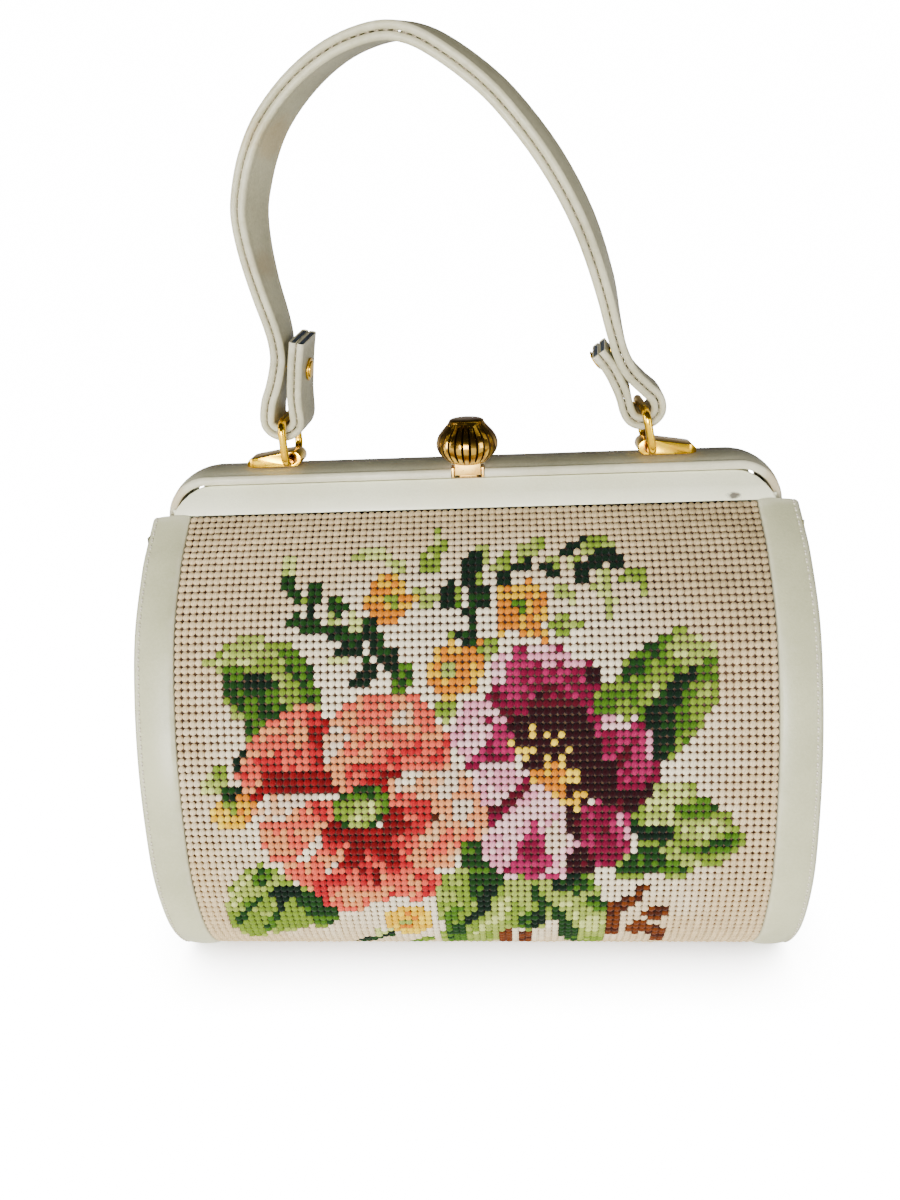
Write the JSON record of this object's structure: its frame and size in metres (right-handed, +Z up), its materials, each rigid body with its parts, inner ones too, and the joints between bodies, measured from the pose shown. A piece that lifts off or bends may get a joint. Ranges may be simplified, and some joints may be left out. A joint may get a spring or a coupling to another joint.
{
  "type": "needlepoint frame handbag",
  "caption": "Barrel-shaped needlepoint handbag with leather bands, a leather-covered top frame, a ribbed ball clasp and a strap handle.",
  "frame": {"origin": "centre of the base, on the surface that the bag stands on", "axes": "+X along the bag, to the right seen from the front; -Y is the front; +Z is up"},
  "size_m": [0.242, 0.1526, 0.33],
  "materials": {
    "wool": "matt wool stitches",
    "leather": "smooth bone leather, slightly worn",
    "brass": "polished",
    "steel": "plain"
  },
  "bodies": {
    "bag": {"needlepoint_panel": "wool", "top_frame": "leather", "front_frame": "leather", "rear_frame": "leather", "clasp_housing": "brass", "handle_outer_strap": "leather", "handle_inner_strap": "leather", "side_band_left": "leather", "side_band_right": "leather", "end_gusset_left": "leather", "end_gusset_right": "leather", "hinge_pin_left": "steel", "hinge_pin_right": "steel", "handle_bracket_left": "brass", "handle_bracket_right": "brass", "handle_ring_left": "brass", "handle_ring_right": "brass", "handle_rivet_left": "brass", "handle_rivet_right": "brass"},
    "clasp": {"clasp_knob": "brass"}
  },
  "joints": [
    {"name": "clasp_lever", "type": "hinge", "parent": "bag", "child": "clasp", "pos_m": [0, -0.0105, 0.1852], "axis": [-1, 0, 0], "range_deg": [0, 7], "stiffness_Nm_per_rad": 0.05, "springref_deg": -5.73}
  ]
}
